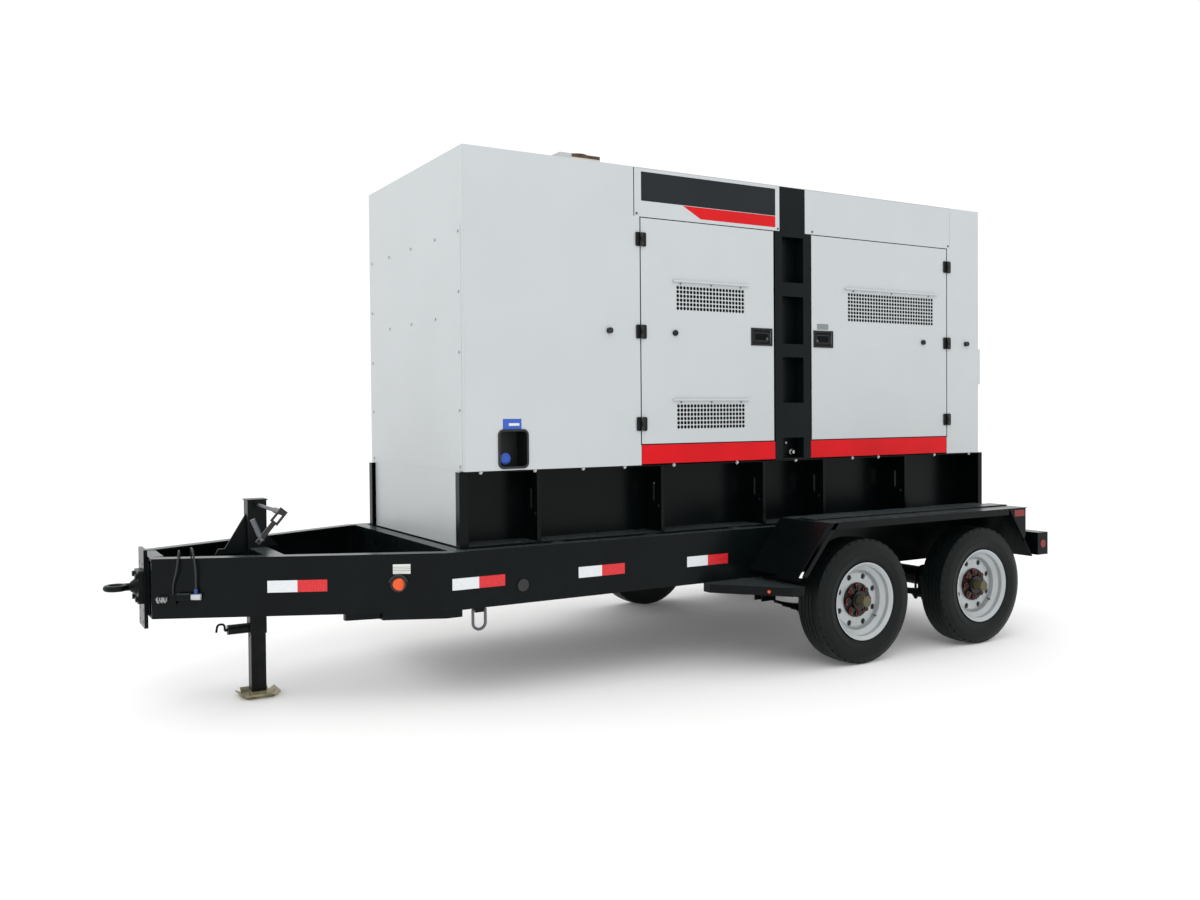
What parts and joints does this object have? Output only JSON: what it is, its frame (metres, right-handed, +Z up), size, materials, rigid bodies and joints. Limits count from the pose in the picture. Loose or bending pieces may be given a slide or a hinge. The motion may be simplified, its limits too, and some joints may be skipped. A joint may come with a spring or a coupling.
{
  "type": "towable diesel generator",
  "caption": "Sound-proofed diesel generator on a tandem-axle trailer: hinged service doors, lifting columns, skid-base fuel tank, drop-leg jack and a pintle eye",
  "frame": {"origin": "midway along the length from the eye's tip to the tail lamps, on the centre plane, at the ground under the tyres", "axes": "+X toward the rear of the trailer, +Y toward its right side, +Z up"},
  "size_m": [5.8237, 2.59, 3.092],
  "materials": {
    "enclosure_paint": "light cool grey powder coat, satin",
    "frame_paint": "near-black enamel, half gloss",
    "red_paint": "red enamel, satin",
    "wheel_paint": "white wheel paint",
    "engine_paint": "grey engine paint on cast iron",
    "alternator_paint": "dark grey paint on cast iron",
    "radiator_metal": "brazed aluminium core",
    "exhaust_metal": "aluminised steel",
    "bare_steel": "zinc-plated steel",
    "dark_steel": "black enamel on forged steel",
    "foot_zinc": "black tube, yellow zinc foot",
    "black_plastic": "moulded black plastic",
    "cabinet_paint": "light grey powder coat",
    "battery_case": "moulded battery case",
    "tape": "white and red reflective sheet",
    "lens": "amber and red lamp lens",
    "tyre_rubber": "tyre tread and sidewall",
    "cable_rubber": "black cable jacket",
    "grip_rubber": "black hand grip"
  },
  "bodies": {
    "trailer": {"main_beams": "frame_paint", "tongue_beams": "frame_paint", "crossmembers": "frame_paint", "tow_eye": "dark_steel", "jack_housing": "frame_paint", "fenders": "frame_paint", "side_steps": "frame_paint", "rear_bumper": "frame_paint", "lamp_lenses": "lens", "reflective_tape": "tape", "spring_hangers": "frame_paint", "base_tank": "frame_paint", "front_panel": "enclosure_paint", "side_panels": "enclosure_paint", "roof_panel": "enclosure_paint", "header_panels": "enclosure_paint", "lift_columns": "frame_paint", "sill_panels": "red_paint", "rear_wall": "enclosure_paint", "engine": "engine_paint", "alternator": "alternator_paint", "radiator": "radiator_metal", "muffler": "exhaust_metal", "air_cleaner": "black_plastic", "battery": "battery_case", "control_cabinet": "cabinet_paint", "panel_hardware": "black_plastic", "tow_cable": "cable_rubber", "trailer_plug": "black_plastic", "switch_cable": "cable_rubber", "breakaway_wire": "bare_steel"},
    "axle_front": {"axle_front": "frame_paint"},
    "axle_rear": {"axle_rear": "frame_paint"},
    "equalizers": {"equalizers": "frame_paint"},
    "wheel_left_front": {"rim_left_front": "wheel_paint", "tyre_left_front": "tyre_rubber"},
    "wheel_right_front": {"rim_right_front": "wheel_paint", "tyre_right_front": "tyre_rubber"},
    "wheel_left_rear": {"rim_left_rear": "wheel_paint", "tyre_left_rear": "tyre_rubber"},
    "wheel_right_rear": {"rim_right_rear": "wheel_paint", "tyre_right_rear": "tyre_rubber"},
    "door_left_front": {"door_left_front": "enclosure_paint"},
    "latch_left_front": {"latch_left_front": "black_plastic"},
    "door_left_rear": {"door_left_rear": "enclosure_paint"},
    "latch_left_rear": {"latch_left_rear": "black_plastic"},
    "door_right_front": {"door_right_front": "enclosure_paint"},
    "latch_right_front": {"latch_right_front": "black_plastic"},
    "door_right_rear": {"door_right_rear": "enclosure_paint"},
    "latch_right_rear": {"latch_right_rear": "black_plastic"},
    "rear_door": {"rear_door": "enclosure_paint"},
    "jack_ram": {"jack_ram": "frame_paint"},
    "drop_leg": {"drop_leg": "foot_zinc"},
    "jack_pin": {"jack_pin": "bare_steel"},
    "jack_crank": {"jack_crank": "dark_steel"},
    "crank_grip": {"crank_grip": "grip_rubber"},
    "fan": {"fan": "black_plastic"},
    "d_ring_left": {"d_ring_left": "bare_steel"},
    "d_ring_right": {"d_ring_right": "bare_steel"},
    "exhaust_cap": {"exhaust_cap": "exhaust_metal"}
  },
  "joints": [
    {"name": "axle_front_rock", "type": "hinge", "parent": "trailer", "child": "axle_front", "pos_m": [0.78987, 0, 0.398], "axis": [0, 1, 0], "range_deg": [-2.5, 2.5]},
    {"name": "axle_rear_rock", "type": "hinge", "parent": "trailer", "child": "axle_rear", "pos_m": [2.63488, 0, 0.398], "axis": [0, 1, 0], "range_deg": [-2.5, 2.5]},
    {"name": "equalizer_rock", "type": "hinge", "parent": "trailer", "child": "equalizers", "pos_m": [1.71237, 0, 0.44], "axis": [0, 1, 0], "range_deg": [-15.6, 15.6]},
    {"name": "wheel_left_front_spin", "type": "hinge", "parent": "axle_front", "child": "wheel_left_front", "pos_m": [1.18487, 0, 0.385], "axis": [0, 1, 0], "continuous": true},
    {"name": "wheel_right_front_spin", "type": "hinge", "parent": "axle_front", "child": "wheel_right_front", "pos_m": [1.18487, 0, 0.385], "axis": [0, 1, 0], "continuous": true},
    {"name": "wheel_left_rear_spin", "type": "hinge", "parent": "axle_rear", "child": "wheel_left_rear", "pos_m": [2.23988, 0, 0.385], "axis": [0, 1, 0], "continuous": true},
    {"name": "wheel_right_rear_spin", "type": "hinge", "parent": "axle_rear", "child": "wheel_right_rear", "pos_m": [2.23988, 0, 0.385], "axis": [0, 1, 0], "continuous": true},
    {"name": "door_left_front_hinge", "type": "hinge", "parent": "trailer", "child": "door_left_front", "pos_m": [-0.08712, -0.77, 2.018], "axis": [0, 0, -1], "range_deg": [0, 170]},
    {"name": "latch_left_front_pull", "type": "hinge", "parent": "door_left_front", "child": "latch_left_front", "pos_m": [0.82088, -0.75, 2.048], "axis": [-1, 0, 0], "range_deg": [0, 40], "stiffness_Nm_per_rad": 0.5},
    {"name": "door_left_rear_hinge", "type": "hinge", "parent": "trailer", "child": "door_left_rear", "pos_m": [2.51187, -0.77, 2.018], "axis": [0, 0, 1], "range_deg": [0, 170]},
    {"name": "latch_left_rear_pull", "type": "hinge", "parent": "door_left_rear", "child": "latch_left_rear", "pos_m": [1.33888, -0.75, 2.048], "axis": [-1, 0, 0], "range_deg": [0, 40], "stiffness_Nm_per_rad": 0.5},
    {"name": "door_right_front_hinge", "type": "hinge", "parent": "trailer", "child": "door_right_front", "pos_m": [-0.08712, 0.77, 2.018], "axis": [0, 0, 1], "range_deg": [0, 170]},
    {"name": "latch_right_front_pull", "type": "hinge", "parent": "door_right_front", "child": "latch_right_front", "pos_m": [0.82088, 0.75, 2.048], "axis": [1, 0, 0], "range_deg": [0, 40], "stiffness_Nm_per_rad": 0.5},
    {"name": "door_right_rear_hinge", "type": "hinge", "parent": "trailer", "child": "door_right_rear", "pos_m": [2.51187, 0.77, 2.018], "axis": [0, 0, -1], "range_deg": [0, 170]},
    {"name": "latch_right_rear_pull", "type": "hinge", "parent": "door_right_rear", "child": "latch_right_rear", "pos_m": [1.33888, 0.75, 2.048], "axis": [1, 0, 0], "range_deg": [0, 40], "stiffness_Nm_per_rad": 0.5},
    {"name": "rear_door_hinge", "type": "hinge", "parent": "trailer", "child": "rear_door", "pos_m": [2.85988, 0.428, 1.99], "axis": [0, 0, 1], "range_deg": [0, 100]},
    {"name": "jack_crank_turn", "type": "hinge", "parent": "trailer", "child": "jack_crank", "pos_m": [-2.14012, -0.3, 1.058], "axis": [0, 1, 0], "range_deg": [0, 17280]},
    {"name": "jack_ram_slide", "type": "slide", "parent": "trailer", "child": "jack_ram", "axis": [0, 0, -1], "range_m": [0, 0.3048]},
    {"name": "drop_leg_slide", "type": "slide", "parent": "jack_ram", "child": "drop_leg", "axis": [0, 0, 1], "range_m": [0, 0.25]},
    {"name": "jack_pin_pull", "type": "slide", "parent": "jack_ram", "child": "jack_pin", "axis": [-1, 0, 0], "range_m": [0, 0.025], "stiffness_N_per_m": 2000},
    {"name": "crank_grip_fold", "type": "hinge", "parent": "jack_crank", "child": "crank_grip", "pos_m": [-2.24876, -0.606, 0.92854], "axis": [0.9272, 0, 0.3746], "range_deg": [0, 90]},
    {"name": "fan_spin", "type": "hinge", "parent": "trailer", "child": "fan", "pos_m": [-0.04013, 0, 1.8875], "axis": [1, 0, 0], "continuous": true},
    {"name": "d_ring_left_swing", "type": "hinge", "parent": "trailer", "child": "d_ring_left", "pos_m": [-1.16813, -0.813, 0.503], "axis": [1, 0, 0], "range_deg": [-80, 80]},
    {"name": "d_ring_right_swing", "type": "hinge", "parent": "trailer", "child": "d_ring_right", "pos_m": [-1.16813, 0.813, 0.503], "axis": [1, 0, 0], "range_deg": [-80, 80]},
    {"name": "exhaust_cap_hinge", "type": "hinge", "parent": "trailer", "child": "exhaust_cap", "pos_m": [-0.22412, -0.4, 3.086], "axis": [0, 1, 0], "range_deg": [0, 80]}
  ],
  "couplings": [
    {"joint": "axle_rear_rock", "follows": "axle_front_rock", "ratio": 1},
    {"joint": "equalizer_rock", "follows": "axle_front_rock", "ratio": -6.2},
    {"joint": "jack_ram_slide", "follows": "jack_crank_turn", "m_per_rad": 0.0010106}
  ]
}
